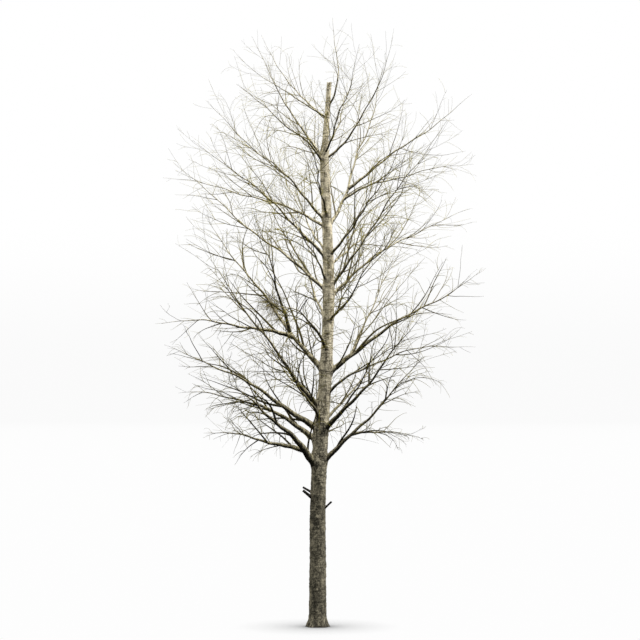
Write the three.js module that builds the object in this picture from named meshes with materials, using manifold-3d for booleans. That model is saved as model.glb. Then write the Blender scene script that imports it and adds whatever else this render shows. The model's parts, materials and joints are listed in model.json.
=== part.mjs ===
// Bare poplar tree, standing in the ground: one trunk, its main boughs and a mass of twigs on every limb.
// Millimetres, +Z up. +X is the right of the front view and +Y points away from it.
// The origin is the middle of the flat cut where the trunk meets the ground.

import * as THREE from 'three';
import { mergeVertices } from 'three/addons/utils/BufferGeometryUtils.js';
import Module from 'manifold-3d';

const wasm = await Module();
wasm.setup();

const radians = THREE.MathUtils.degToRad;
const mix = THREE.MathUtils.lerp;

// Gap between a limb and what carries it
const CLEARANCE = 0.3;

// Share of a path over which its direction is taken
const WAY_STEP = 0.002;

// Trunk: height above the ground, lean to the right, sway away from the front, and width across
const TRUNK_STATIONS = [
  { height: 0, lean: 0, sway: 0, across: 372 },
  { height: 1300, lean: 8, sway: 0, across: 342 },
  { height: 2700, lean: 11, sway: 10, across: 321 },
  { height: 4130, lean: 79, sway: 30, across: 304 },
  { height: 5670, lean: 193, sway: 30, across: 257 },
  { height: 7340, lean: 235, sway: 0, across: 240 },
  { height: 8710, lean: 195, sway: -30, across: 206 },
  { height: 9900, lean: 146, sway: -30, across: 196 },
  { height: 10300, lean: 170, sway: -20, across: 148 },
  { height: 11550, lean: 250, sway: 20, across: 86 },
];
const TRUNK_TOP = 11550;
const TRUNK_SIDES = 15;
const TRUNK_RINGS = 32;
const RING_CROWDING = 1.8; // above 1 the rings crowd towards the flare
const FLARE = 62; // how far the root lobes stand out at the ground
const FLARE_FADE = 60; // height over which the flare dies away
const FLARE_LOBES = 5;
const FIRST_LOBE = 234; // bearing of a lobe: two lobes face the front with a notch between them
const LOBE_DEPTH = 0.35;

// Stubs of three limbs pruned from the clear stem: height, bearing, reach, rise and width across
const STUBS = [
  { height: 2740, bearing: 165, reach: 330, rise: 185, across: 36 },
  { height: 2600, bearing: 196, reach: 325, rise: 260, across: 48 },
  { height: 2350, bearing: 350, reach: 295, rise: 275, across: 32 },
];
const STUB_SIDES = 6;

// Limbs from the ground up. A limb grows on the trunk, at a height, or on another limb's bough, at a share
// of that limb's length. Bearings turn from the right of the front view towards the back. Reach and rise
// lead from root to tip, leave and arrive are the slopes there, girth is the width across at the root, and
// bare is the share of the limb that is a bough without twigs: none where the twigs start at the root.
// name, carrier, at, bearing, reach, rise, leave, arrive, girth, bare
const LIMBS = [
  ['left_1', 'trunk', 3310, 212, 2400, 1880, 48, 26, 84, 0.38],
  ['left_2', 'left_1', 0.17, 165, 2250, 360, 12, -4, 48, 0],
  ['right_1', 'trunk', 3400, 345, 2300, 2290, 39, 45, 70, 0.42],
  ['right_2', 'right_1', 0.3, 18, 1450, -80, 8, -16, 36, 0],
  ['back_1', 'trunk', 3720, 86, 2850, 1550, 42, 15, 54, 0.34],
  ['left_3', 'trunk', 3860, 174, 3050, 1060, 38, -8, 52, 0.32],
  ['front_1', 'trunk', 4080, 316, 2900, 2480, 35, 46, 68, 0.38],
  ['left_4', 'trunk', 4120, 191, 3350, 1800, 33, 18, 56, 0.35],
  ['back_2', 'trunk', 4260, 50, 2900, 2200, 33, 40, 48, 0],
  ['front_2', 'trunk', 4270, 242, 2600, 1900, 47, 42, 44, 0],
  ['back_3', 'trunk', 4480, 128, 2950, 2000, 42, 34, 46, 0],
  ['left_5', 'trunk', 4560, 208, 2780, 3290, 43, 51, 52, 0.36],
  ['right_3', 'trunk', 4790, 333, 3480, 1050, 48, -4, 46, 0],
  ['right_4', 'trunk', 5260, 357, 3340, 2280, 46, 38, 74, 0.5],
  ['back_4', 'right_4', 0.18, 58, 2150, 2400, 50, 42, 40, 0],
  ['left_6', 'trunk', 5320, 163, 2730, 3450, 50, 56, 64, 0.36],
  ['left_7', 'left_6', 0.25, 189, 2950, 260, 16, -8, 42, 0],
  ['front_3', 'left_6', 0.28, 244, 1750, 2350, 62, 48, 36, 0],
  ['front_4', 'trunk', 5770, 248, 3150, 950, 50, 5, 50, 0.36],
  ['back_5', 'trunk', 6150, 102, 3150, 1950, 45, 25, 50, 0],
  ['front_5', 'trunk', 6410, 300, 2600, 1960, 27, 46, 42, 0],
  ['right_5', 'trunk', 6900, 20, 3300, 2060, 48, 20, 48, 0.35],
  ['left_8', 'trunk', 7050, 170, 3400, 2860, 41, 42, 48, 0.35],
  ['right_6', 'trunk', 7080, 332, 2770, 3450, 52, 50, 44, 0],
  ['front_6', 'trunk', 7160, 236, 2360, 2080, 58, 38, 36, 0],
  ['back_6', 'trunk', 7620, 52, 3050, 1580, 28, 22, 40, 0],
  ['left_9', 'trunk', 7730, 201, 3030, 2430, 48, 33, 48, 0.36],
  ['front_7', 'trunk', 7800, 313, 2350, 2480, 36, 59, 44, 0.3],
  ['back_7', 'trunk', 7860, 120, 2400, 2560, 38, 58, 38, 0],
  ['back_8', 'trunk', 8380, 52, 2100, 3900, 49, 67, 54, 0.34],
  ['right_7', 'back_8', 0.26, 4, 2700, 2100, 40, 42, 42, 0],
  ['right_8', 'back_8', 0.2, 340, 2900, 640, 30, 4, 34, 0],
  ['left_10', 'trunk', 8420, 170, 3600, 1160, 32, 8, 38, 0],
  ['left_11', 'trunk', 8520, 206, 2800, 2450, 50, 44, 38, 0],
  ['front_8', 'trunk', 8620, 259, 2700, 1900, 46, 36, 34, 0],
  ['back_9', 'trunk', 9050, 90, 2700, 1900, 44, 36, 34, 0],
  ['front_9', 'trunk', 9800, 226, 2550, 1400, 42, 30, 34, 0],
  ['right_9', 'trunk', 9880, 338, 1560, 2560, 33, 78, 38, 0],
  ['left_12', 'trunk', 9920, 165, 1620, 2700, 48, 64, 38, 0],
  ['front_10', 'trunk', 9990, 292, 1900, 2050, 40, 64, 32, 0],
  ['back_10', 'trunk', 10040, 66, 1750, 2350, 40, 66, 32, 0],
  ['left_13', 'trunk', 10740, 148, 1680, 2000, 38, 65, 28, 0],
  ['left_14', 'trunk', 10790, 206, 2050, 1150, 28, 40, 26, 0],
  ['top', 'trunk', 11050, 322, 130, 1880, 35, 92, 30, 0],
].map(([name, carrier, at, bearing, reach, rise, leave, arrive, girth, bare], index) => (
  { name, carrier, at, bearing, reach, rise, leave, arrive, girth, bare, seed: index + 1 }
));
const LIMB_TIP = 5; // radius at a limb's tip
const LIMB_WANDER = 0.012; // sideways wander, as a share of the limb's length
const SIDE_WAVES = 2; // bends from side to side along a limb, and up and down
const RISE_WAVES = 1.5;
const COLLAR = 1.4; // swelling where a limb leaves the trunk
const BOUGH_SIDES = 6;
const BOUGH_STEP = 330;
const STEM_SIDES = 4;
const STEM_STEPS = 6;

// Shoots: how many a parent bears, how far they turn from it, and their length as a share of its own
const BRANCH = {
  least: 2, spacing: 720, turn: 28, turnSpread: 24, longAtFoot: 0.5, longAtTip: 0.2, steps: 6,
};
const TWIG = {
  least: 3, spacing: 170, turn: 32, turnSpread: 26, longAtFoot: 0.45, longAtTip: 0.2, steps: 4,
};
const FIRST_BRANCH = 0.28; // no branch sits nearer a limb's root than this share of its length
const PAST_BOUGH = 0.03; // nor nearer the end of its bough than this
const FIRST_TWIG = 0.22;
const LAST_SHOOT = 0.97;
const LEAST_STEPS = 2; // a shoot stopped before this many steps is left out
const KEPT_TWIGS = 6; // the solids carry one twig of every so many,
const FIRST_KEPT = 2; // from this one on
const GOLDEN_ANGLE = radians(137.5);
const PLACE_SPREAD = 0.6; // how much chance moves a shoot along its parent and round it,
const AROUND_SPREAD = 0.4;
const LENGTH_SPREAD = 0.4; // and changes its length
const FAMILY = 40; // seeds kept for the shoots of one parent
const DRAWS = 10; // draws kept for the bends along one axis
const SHOOT_THICKNESS = 0.01; // radius at the root, as a share of the shoot's length
const ROOT_SHARE = 0.45; // and at most this share of its parent's radius there
const SHOOT_SIDES = 3;
const BRANCH_PIECES = 2; // straight pieces along a branch
const SHOOT_WANDER = 0.24;
const DROOP = -0.1; // turn per step at the crown's foot, where twigs hang
const LIFT = 0.1; // turn per step in its upper half, where they rise

// Space: every mass keeps nearer to its own limb than to any other, clear of the trunk, and in the crown
const AXIS_SAMPLES = 32;
const APART = 60;
const TRUNK_CLEAR = 80;
const CROWN_FOOT = 2900;
const CROWN_TOP = 12950;
const CROWN_RADIUS = 3520;
const CROWN_LEAN = 90;
const CROWN_ROUNDNESS = 2.5; // 2 is an egg, more is a barrel

const BARK = new THREE.MeshStandardMaterial({ color: 0x6b6253, roughness: 0.95, metalness: 0 });
const BOUGH_BARK = new THREE.MeshStandardMaterial({ color: 0x574d3f, roughness: 0.9, metalness: 0 });
const TWIG_BARK = new THREE.MeshStandardMaterial({ color: 0x8a7a5c, roughness: 0.85, metalness: 0 });

// A repeatable number from 0 to 1 for one draw of one limb or shoot
function chance(seed, draw) {
  let bits = Math.imul(seed + draw * 0x9e3779b1, 0x85ebca6b);
  bits = Math.imul(bits ^ (bits >>> 13), 0xc2b2ae35);
  return ((bits ^ (bits >>> 16)) >>> 0) / 0x100000000;
}

// Smooth value between the trunk's stations
function trunkValue(height, key) {
  const last = TRUNK_STATIONS.length - 1;
  const above = TRUNK_STATIONS.findIndex((station) => station.height > height);
  const low = above === -1 ? last - 1 : Math.max(above - 1, 0);
  const at = (index) => TRUNK_STATIONS[Math.min(Math.max(index, 0), last)];
  const slope = (index) => {
    const [before, after] = [at(index - 1), at(index + 1)];
    return (after[key] - before[key]) / (after.height - before.height);
  };
  const [from, to] = [at(low), at(low + 1)];
  const span = to.height - from.height;
  const share = Math.min(Math.max((height - from.height) / span, 0), 1);
  const ease = share * share * (3 - 2 * share);
  const leaving = share * (1 - share) * (1 - share) * span * slope(low);
  const arriving = share * share * (1 - share) * span * slope(low + 1);
  return mix(from[key], to[key], ease) + leaving - arriving;
}

function trunkCentre(height) {
  return new THREE.Vector3(trunkValue(height, 'lean'), trunkValue(height, 'sway'), height);
}

function trunkRadius(height) {
  return trunkValue(height, 'across') / 2;
}

// Boolean solid of a closed geometry, and the geometry of a solid
function solidOf(geometry) {
  geometry.deleteAttribute('normal');
  geometry.deleteAttribute('uv');
  const merged = mergeVertices(geometry);
  const vertProperties = new Float32Array(merged.attributes.position.array);
  const triVerts = new Uint32Array(merged.index.array);
  return new wasm.Manifold(new wasm.Mesh({ numProp: 3, vertProperties, triVerts }));
}

function geometryOf(solid) {
  const { vertProperties, triVerts } = solid.getMesh();
  const geometry = new THREE.BufferGeometry();
  geometry.setAttribute('position', new THREE.BufferAttribute(vertProperties, 3));
  geometry.setIndex(new THREE.BufferAttribute(triVerts, 1));
  geometry.computeVertexNormals();
  return geometry;
}

function fuse(solids) {
  return solids.reduce((whole, solid) => whole.add(solid));
}

// The largest piece left after a cut
function mainPiece(solid) {
  const pieces = solid.decompose();
  return pieces.reduce((most, piece) => (piece.volume() > most.volume() ? piece : most));
}

// Trunk with its flare, grown all over by a clearance where it is used to cut its neighbours
function trunkSolid(grown) {
  const shape = new THREE.CylinderGeometry(1, 1, 1, TRUNK_SIDES, TRUNK_RINGS);
  const place = shape.attributes.position;
  for (let index = 0; index < place.count; index += 1) {
    const height = TRUNK_TOP * (place.getY(index) + 0.5) ** RING_CROWDING;
    const bearing = Math.atan2(place.getZ(index), place.getX(index));
    const share = Math.hypot(place.getX(index), place.getZ(index));
    const lobe = Math.cos(FLARE_LOBES * (bearing + radians(FIRST_LOBE)));
    const flare = FLARE * Math.exp(-height / FLARE_FADE) * (1 - LOBE_DEPTH + LOBE_DEPTH * lobe);
    const radius = share * (trunkRadius(height) + flare + grown);
    const centre = trunkCentre(height);
    const [right, away] = [Math.cos(bearing) * radius, -Math.sin(bearing) * radius];
    place.setXYZ(index, centre.x + right, centre.y + away, height);
  }
  return solidOf(shape);
}

// Places along a path that is given as a function, each with the way that the path runs there
function pathPlaces(pointAt, from, to, steps) {
  return Array.from({ length: steps + 1 }, (_, step) => {
    const share = mix(from, to, step / steps);
    return { point: pointAt(share), way: wayAt(pointAt, share) };
  });
}

function wayAt(pointAt, share) {
  return pointAt(share + WAY_STEP).sub(pointAt(share - WAY_STEP)).normalize();
}

// Closed tapering tube through a row of places. A tip radius of 0 gives it a point.
function tube(places, rootRadius, tipRadius, sides, collar = 1) {
  const steps = places.length - 1;
  const shape = new THREE.CylinderGeometry(tipRadius / rootRadius, 1, 1, sides, steps);
  const place = shape.attributes.position;
  let side = new THREE.Vector3(0, 0, 1).cross(places[0].way);
  const rings = places.map(({ point, way }, ring) => {
    side = side.clone().addScaledVector(way, -side.dot(way)).normalize();
    const radius = rootRadius * (ring === 0 ? collar : 1);
    return { point, radius, side, top: side.clone().cross(way) };
  });
  for (let index = 0; index < place.count; index += 1) {
    const { point, radius, side: across, top } = rings[Math.round((place.getY(index) + 0.5) * steps)];
    const moved = point.clone().addScaledVector(across, place.getX(index) * radius);
    moved.addScaledVector(top, place.getZ(index) * radius);
    place.setXYZ(index, moved.x, moved.y, moved.z);
  }
  return solidOf(shape);
}

// A direction from its bearing and its slope
function direction(bearing, slope) {
  const level = Math.cos(radians(slope));
  const [right, away] = [Math.cos(radians(bearing)) * level, Math.sin(radians(bearing)) * level];
  return new THREE.Vector3(right, away, Math.sin(radians(slope)));
}

// Limb axes
const limbNamed = Object.fromEntries(LIMBS.map((limb) => [limb.name, limb]));

function limbPoint(limb, along) {
  const point = limb.curve.getPoint(along);
  const sideways = direction(limb.bearing + 90, 0);
  const swing = LIMB_WANDER * limb.length * Math.sin(Math.PI * along);
  const sideTurn = 2 * Math.PI * (SIDE_WAVES * along + chance(limb.seed, 1));
  const riseTurn = 2 * Math.PI * (RISE_WAVES * along + chance(limb.seed, 2));
  point.addScaledVector(sideways, swing * Math.sin(sideTurn));
  point.z += swing * Math.sin(riseTurn);
  return point;
}

function limbPlaces(limb, from, to, steps) {
  return pathPlaces((along) => limbPoint(limb, along), from, to, steps);
}

function limbRadius(limb, along) {
  return mix(limb.girth / 2, LIMB_TIP, along);
}

for (const limb of LIMBS) {
  const root = limb.carrier === 'trunk' ? trunkCentre(limb.at) : limbPoint(limbNamed[limb.carrier], limb.at);
  const tip = root.clone().addScaledVector(direction(limb.bearing, 0), limb.reach);
  tip.z += limb.rise;
  limb.length = root.distanceTo(tip);
  const leaving = root.clone().addScaledVector(direction(limb.bearing, limb.leave), limb.length / 3);
  const arriving = tip.clone().addScaledVector(direction(limb.bearing, limb.arrive), -limb.length / 3);
  limb.curve = new THREE.CubicBezierCurve3(root, leaving, arriving, tip);
  limb.axis = limbPlaces(limb, 0, 1, AXIS_SAMPLES).map((place) => place.point);
}

// Whether a point lies in a limb's own space
function nearest(points, place) {
  return Math.min(...points.map((point) => point.distanceTo(place)));
}

function inOwnSpace(place, limb) {
  const centre = trunkCentre(place.z);
  const fromTrunk = Math.hypot(place.x - centre.x, place.y - centre.y);
  if (fromTrunk < trunkRadius(place.z) + TRUNK_CLEAR) return false;
  const middle = (CROWN_FOOT + CROWN_TOP) / 2;
  const outward = Math.hypot(place.x - CROWN_LEAN, place.y) / CROWN_RADIUS;
  const upward = Math.abs(place.z - middle) / (CROWN_TOP - middle);
  if (outward ** CROWN_ROUNDNESS + upward ** CROWN_ROUNDNESS > 1) return false;
  const own = nearest(limb.axis, place);
  return LIMBS.every((other) => other === limb || nearest(other.axis, place) > own + APART);
}

// One shoot, step by step from its root, stopped where it would leave its limb's space
function growPath(seed, root, heading, length, steps, limb) {
  const path = [root];
  const way = heading.clone();
  const bend = (axis, step) => SHOOT_WANDER * (chance(seed, DRAWS * axis + step) - 0.5);
  for (let step = 1; step <= steps; step += 1) {
    const next = path.at(-1).clone().addScaledVector(way, length / steps);
    if (!inOwnSpace(next, limb)) break;
    path.push(next);
    const height = THREE.MathUtils.clamp((next.z - CROWN_FOOT) / (CROWN_TOP - CROWN_FOOT) * 2, 0, 1);
    way.x += bend(1, step);
    way.y += bend(2, step);
    way.z += bend(3, step) + mix(DROOP, LIFT, height);
    way.normalize();
  }
  return path;
}

// The shoots that one parent bears, spiralling round it from its first share to its tip
function growShoots(parent, rule, first, limb) {
  const count = rule.least + Math.round(parent.length / rule.spacing);
  const shoots = [];
  for (let index = 0; index < count; index += 1) {
    const seed = parent.seed * FAMILY + index + 1;
    const place = index + 0.5 + PLACE_SPREAD * (chance(seed, 1) - 0.5);
    const along = mix(first, LAST_SHOOT, place / count);
    const turn = radians(rule.turn + rule.turnSpread * chance(seed, 2));
    const aside = chance(parent.seed, 3) + AROUND_SPREAD * chance(seed, 3);
    const around = GOLDEN_ANGLE * index + Math.PI * aside;
    const size = mix(rule.longAtFoot, rule.longAtTip, along);
    const length = parent.length * size * (1 + LENGTH_SPREAD * (chance(seed, 4) - 0.5));
    const root = parent.pointAt(along);
    const onward = wayAt(parent.pointAt, along);
    const side = new THREE.Vector3(0, 0, 1).cross(onward).normalize();
    const top = onward.clone().cross(side);
    const heading = onward.multiplyScalar(Math.cos(turn));
    heading.addScaledVector(side, Math.sin(turn) * Math.cos(around));
    heading.addScaledVector(top, Math.sin(turn) * Math.sin(around));
    const path = growPath(seed, root, heading, length, rule.steps, limb);
    if (path.length <= LEAST_STEPS) continue;
    const grownLength = length * (path.length - 1) / rule.steps;
    const bends = new THREE.CatmullRomCurve3(path);
    const pointAt = (share) => bends.getPoint(THREE.MathUtils.clamp(share, 0, 1));
    shoots.push({ index, seed, along, length: grownLength, pointAt });
  }
  return shoots;
}

// Trunk with the pruned stubs fused to it
function trunkWithStubs() {
  const stubs = STUBS.map((stub) => {
    const root = trunkCentre(stub.height);
    const tip = root.clone().addScaledVector(direction(stub.bearing, 0), stub.reach);
    tip.z += stub.rise;
    const pointAt = (share) => root.clone().lerp(tip, share);
    return tube(pathPlaces(pointAt, 0, 1, 1), stub.across / 2, stub.across / 2, STUB_SIDES);
  });
  return fuse([trunkSolid(0), ...stubs]);
}

// Bough: the bare part of a limb, cut clear of the trunk
function boughTube(limb, grown) {
  const steps = Math.ceil(limb.length * limb.bare / BOUGH_STEP);
  const places = limbPlaces(limb, 0, limb.bare, steps);
  return tube(places, limb.girth / 2 + grown, limbRadius(limb, limb.bare) + grown, BOUGH_SIDES, COLLAR);
}

// Mass: the rest of the limb as its stem, with the branches and twigs that the stem bears
function massSolid(limb, carrierSolid) {
  const start = limb.bare > 0 ? limb.bare + CLEARANCE / limb.length : 0;
  const collar = limb.bare > 0 ? 1 : COLLAR;
  const stemPlaces = limbPlaces(limb, start, 1, STEM_STEPS);
  const solids = [tube(stemPlaces, limbRadius(limb, start), LIMB_TIP, STEM_SIDES, collar)];
  const stem = { seed: limb.seed, length: limb.length, pointAt: (along) => limbPoint(limb, along) };
  const first = Math.max(FIRST_BRANCH, limb.bare + PAST_BOUGH);
  for (const branch of growShoots(stem, BRANCH, first, limb)) {
    const thick = Math.min(SHOOT_THICKNESS * branch.length, ROOT_SHARE * limbRadius(limb, branch.along));
    solids.push(tube(pathPlaces(branch.pointAt, 0, 1, BRANCH_PIECES), thick, 0, SHOOT_SIDES));
    for (const twig of growShoots(branch, TWIG, FIRST_TWIG, limb)) {
      if (twig.index % KEPT_TWIGS !== FIRST_KEPT) continue;
      const thin = Math.min(SHOOT_THICKNESS * twig.length, ROOT_SHARE * thick * (1 - twig.along));
      solids.push(tube(pathPlaces(twig.pointAt, 0, 1, 1), thin, 0, SHOOT_SIDES));
    }
  }
  const mass = fuse(solids);
  return mainPiece(limb.bare > 0 ? mass : mass.subtract(carrierSolid));
}

// The tree
const tree = new THREE.Group();

function addPiece(name, solid, material) {
  const mesh = new THREE.Mesh(geometryOf(solid), material.clone());
  mesh.name = name;
  tree.add(mesh);
}

const carriers = { trunk: trunkSolid(CLEARANCE) };
addPiece('trunk', trunkWithStubs(), BARK);
for (const limb of LIMBS) {
  if (limb.bare > 0) {
    addPiece(`bough_${limb.name}`, mainPiece(boughTube(limb, 0).subtract(carriers.trunk)), BOUGH_BARK);
    carriers[limb.name] = boughTube(limb, CLEARANCE);
  }
  addPiece(`twigs_${limb.name}`, massSolid(limb, carriers[limb.carrier]), TWIG_BARK);
}

export default tree;
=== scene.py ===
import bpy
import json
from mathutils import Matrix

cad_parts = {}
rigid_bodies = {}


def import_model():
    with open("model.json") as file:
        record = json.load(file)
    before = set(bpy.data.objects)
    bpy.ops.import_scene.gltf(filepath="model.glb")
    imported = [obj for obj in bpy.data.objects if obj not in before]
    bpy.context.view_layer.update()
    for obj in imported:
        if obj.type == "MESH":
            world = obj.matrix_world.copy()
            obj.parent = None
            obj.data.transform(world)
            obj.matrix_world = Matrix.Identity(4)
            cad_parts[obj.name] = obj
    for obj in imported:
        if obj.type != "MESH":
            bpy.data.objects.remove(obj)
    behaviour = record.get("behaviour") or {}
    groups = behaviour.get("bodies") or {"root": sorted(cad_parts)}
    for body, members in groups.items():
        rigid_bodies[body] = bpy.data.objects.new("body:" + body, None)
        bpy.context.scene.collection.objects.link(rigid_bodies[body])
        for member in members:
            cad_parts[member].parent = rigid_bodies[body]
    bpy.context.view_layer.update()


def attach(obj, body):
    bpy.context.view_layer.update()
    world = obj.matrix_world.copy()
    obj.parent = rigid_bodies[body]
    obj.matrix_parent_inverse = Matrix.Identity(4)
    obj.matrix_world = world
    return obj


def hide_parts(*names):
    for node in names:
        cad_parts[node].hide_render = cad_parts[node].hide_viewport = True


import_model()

import json
import math
from types import SimpleNamespace

import bpy
import numpy as np
from mathutils import Vector, noise


# Trunk: one stem of green wood under grey-brown bark, cleared of limbs to a quarter of the tree's height.
# It flares into root lobes at the ground, leans a little to the right and ends at the top in a break.
# The bark is furrowed and dark at the foot, with painted shade where it meets the ground, and smooth, pale
# and ringed with old scars above.
TRUNK_STATIONS = np.array([  # height, lean to the right, sway to the back, width across
    (0.00, 0.000, 0.000, 0.372),
    (1.30, 0.008, 0.000, 0.342),
    (2.70, 0.011, 0.010, 0.321),
    (4.13, 0.079, 0.030, 0.304),
    (5.67, 0.193, 0.030, 0.257),
    (7.34, 0.235, 0.000, 0.240),
    (8.71, 0.195, -0.030, 0.206),
    (9.90, 0.146, -0.030, 0.196),
    (10.30, 0.170, -0.020, 0.148),
    (11.55, 0.250, 0.020, 0.086),
])
# Where the limbs leave it, at a height on the trunk or a share of another limb: bearings turn from the right
# towards the back, reach and rise lead from root to tip, leave and arrive are the slopes there, girth is the
# width at the root, and bare is the share before its mass of twigs begins
LIMBS = [  # name, carrier, at, bearing, reach, rise, leave, arrive, girth, bare
    ("left_1", "trunk", 3.31, 212, 2.40, 1.88, 48, 26, 0.120, 0.38),
    ("left_2", "left_1", 0.17, 165, 2.25, 0.36, 12, -4, 0.074, 0),
    ("right_1", "trunk", 3.40, 345, 2.30, 2.29, 39, 45, 0.080, 0.42),
    ("right_2", "right_1", 0.30, 18, 1.45, -0.08, 8, -16, 0.036, 0),
    ("back_1", "trunk", 3.72, 86, 2.85, 1.55, 42, 15, 0.054, 0.34),
    ("left_3", "trunk", 3.86, 174, 3.05, 1.06, 38, -8, 0.089, 0.32),
    ("front_1", "trunk", 4.08, 316, 2.90, 2.48, 35, 46, 0.080, 0.38),
    ("left_4", "trunk", 4.12, 191, 3.35, 1.80, 33, 18, 0.095, 0.35),
    ("back_2", "trunk", 4.26, 50, 2.90, 2.20, 33, 40, 0.048, 0),
    ("front_2", "trunk", 4.27, 242, 2.60, 1.90, 47, 42, 0.050, 0),
    ("back_3", "trunk", 4.48, 128, 2.95, 2.00, 42, 34, 0.046, 0),
    ("left_5", "trunk", 4.56, 208, 2.78, 3.29, 43, 51, 0.080, 0.36),
    ("right_3", "trunk", 4.79, 333, 3.48, 1.05, 48, -4, 0.046, 0),
    ("right_4", "trunk", 5.26, 357, 3.34, 2.28, 46, 38, 0.086, 0.5),
    ("back_4", "right_4", 0.18, 58, 2.15, 2.40, 50, 42, 0.040, 0),
    ("left_6", "trunk", 5.32, 163, 2.73, 3.45, 50, 56, 0.086, 0.36),
    ("left_7", "left_6", 0.25, 189, 2.95, 0.26, 16, -8, 0.064, 0),
    ("front_3", "left_6", 0.28, 244, 1.75, 2.35, 62, 48, 0.054, 0),
    ("front_4", "trunk", 5.77, 248, 3.15, 0.95, 50, 5, 0.050, 0.36),
    ("back_5", "trunk", 6.15, 102, 3.15, 1.95, 45, 25, 0.050, 0),
    ("front_5", "trunk", 6.41, 300, 2.60, 1.96, 27, 46, 0.042, 0),
    ("right_5", "trunk", 6.90, 20, 3.30, 2.06, 48, 20, 0.052, 0.35),
    ("left_8", "trunk", 7.05, 170, 3.40, 2.86, 41, 42, 0.055, 0.35),
    ("right_6", "trunk", 7.08, 332, 2.77, 3.45, 52, 50, 0.048, 0),
    ("front_6", "trunk", 7.16, 236, 2.36, 2.08, 58, 38, 0.036, 0),
    ("back_6", "trunk", 7.62, 52, 3.05, 1.58, 28, 22, 0.040, 0),
    ("left_9", "trunk", 7.73, 201, 3.03, 2.43, 48, 33, 0.056, 0.36),
    ("front_7", "trunk", 7.80, 313, 2.35, 2.48, 36, 59, 0.044, 0.3),
    ("back_7", "trunk", 7.86, 120, 2.40, 2.56, 38, 58, 0.038, 0),
    ("back_8", "trunk", 8.38, 52, 2.10, 3.90, 49, 67, 0.058, 0.34),
    ("right_7", "back_8", 0.26, 4, 2.70, 2.10, 40, 42, 0.046, 0),
    ("right_8", "back_8", 0.20, 340, 2.90, 0.64, 30, 4, 0.034, 0),
    ("left_10", "trunk", 8.42, 170, 3.60, 1.16, 32, 8, 0.043, 0),
    ("left_11", "trunk", 8.52, 206, 2.80, 2.45, 50, 44, 0.044, 0),
    ("front_8", "trunk", 8.62, 259, 2.70, 1.90, 46, 36, 0.034, 0),
    ("back_9", "trunk", 9.05, 90, 2.70, 1.90, 44, 36, 0.034, 0),
    ("front_9", "trunk", 9.80, 226, 2.55, 1.40, 42, 30, 0.039, 0),
    ("right_9", "trunk", 9.88, 338, 1.56, 2.56, 33, 78, 0.038, 0),
    ("left_12", "trunk", 9.92, 165, 1.62, 2.70, 48, 64, 0.042, 0),
    ("front_10", "trunk", 9.99, 292, 1.90, 2.05, 40, 64, 0.032, 0),
    ("back_10", "trunk", 10.04, 66, 1.75, 2.35, 40, 66, 0.032, 0),
    ("left_13", "trunk", 10.74, 148, 1.68, 2.00, 38, 65, 0.028, 0),
    ("left_14", "trunk", 10.79, 206, 2.05, 1.15, 28, 40, 0.026, 0),
    ("top", "trunk", 11.05, 322, 0.13, 1.88, 35, 92, 0.030, 0),
]
TRUNK_TOP = 11.55
TRUNK_SIDES = 96
TRUNK_RINGS = 860
RING_CROWDING = 1.15
FLARE = 0.085
FLARE_RISE = 0.23
FLARE_CURVE = 1.5
FLARE_LOBES = 5
FIRST_LOBE = 234
LOBE_DEPTH = 0.22
COLLAR_GIRTH = 0.85
COLLAR_REACH = 1.3
COLLAR_FADE = 2
# How far each kind of relief stands out of the bark, and its grain along the axes, finer for larger figures
LUMP = 0.007
LUMP_GRAIN = (2.6, 2.6, 1.1)
FURROW = 0.016
PLATE_GRAIN = (18, 18, 8)
PLATE_OCTAVES = 3
PLATE_EDGE = 0.22
SCAR = 0.0035
SCAR_GRAIN = (1.1, 1.1, 7.5)
SCAR_SHARPNESS = 5
PORE = 0.0012
PORE_GRAIN = (30, 30, 55)
BREAK = 0.03
BREAK_GRAIN = (25, 25, 25)
TRUNK_OCTAVES = 2
OCTAVE_FADE = 1.0
OCTAVE_STEP = 2.0
# The furrows fade with height; furrows and scars darken the bark, painted shade darkens the foot where it
# meets the ground, and painted shade with darker knot bark darkens the trunk round the roots of limbs
SMOOTHING = 0.8
SMOOTHING_BAND = (2.5, 8.0)
FURROW_SHADE = 3
SCAR_SHADE = 0.3
# Painted shade at the foot of the trunk where it meets the ground, and how fast it fades upward
FOOT_PAINTED_SHADE = 1.1
FOOT_SHADE_RISE = 0.11
# Painted shade with darker knot bark round the roots of limbs, and how far it spreads
KNOT_AND_SHADE = 0.6
KNOT_AND_SHADE_REACH = 1.5
BARK_ROUGHNESS = 0.88
BARK_SPECULAR = 0.25
BARK_BUMP = 0.6


def trunk_at(height):
    """Centres and radii of the trunk at some heights, smooth between its stations."""
    height = np.atleast_1d(np.asarray(height, float))
    last = len(TRUNK_STATIONS) - 1
    station = np.arange(last + 1)
    before = TRUNK_STATIONS[np.maximum(station - 1, 0)]
    after = TRUNK_STATIONS[np.minimum(station + 1, last)]
    slope = (after - before) / (after[:, :1] - before[:, :1])
    low = np.searchsorted(TRUNK_STATIONS[:, 0], height, side="right") - 1
    low = np.clip(low, 0, last - 1)
    start, stop = TRUNK_STATIONS[low], TRUNK_STATIONS[low + 1]
    span = stop[:, :1] - start[:, :1]
    share = np.clip((height[:, None] - start[:, :1]) / span, 0, 1)
    ease = share * share * (3 - 2 * share)
    leaving = share * (1 - share) ** 2 * span * slope[low]
    arriving = share ** 2 * (1 - share) * span * slope[low + 1]
    value = start + (stop - start) * ease + leaving - arriving
    return np.column_stack([value[:, 1], value[:, 2], height]), value[:, 3] / 2


def heading(bearing, slope):
    """A direction from its bearing, counted from the right towards the back, and its slope."""
    level = math.cos(math.radians(slope))
    turned = math.radians(bearing)
    return np.array([math.cos(turned) * level, math.sin(turned) * level, math.sin(math.radians(slope))])


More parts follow.
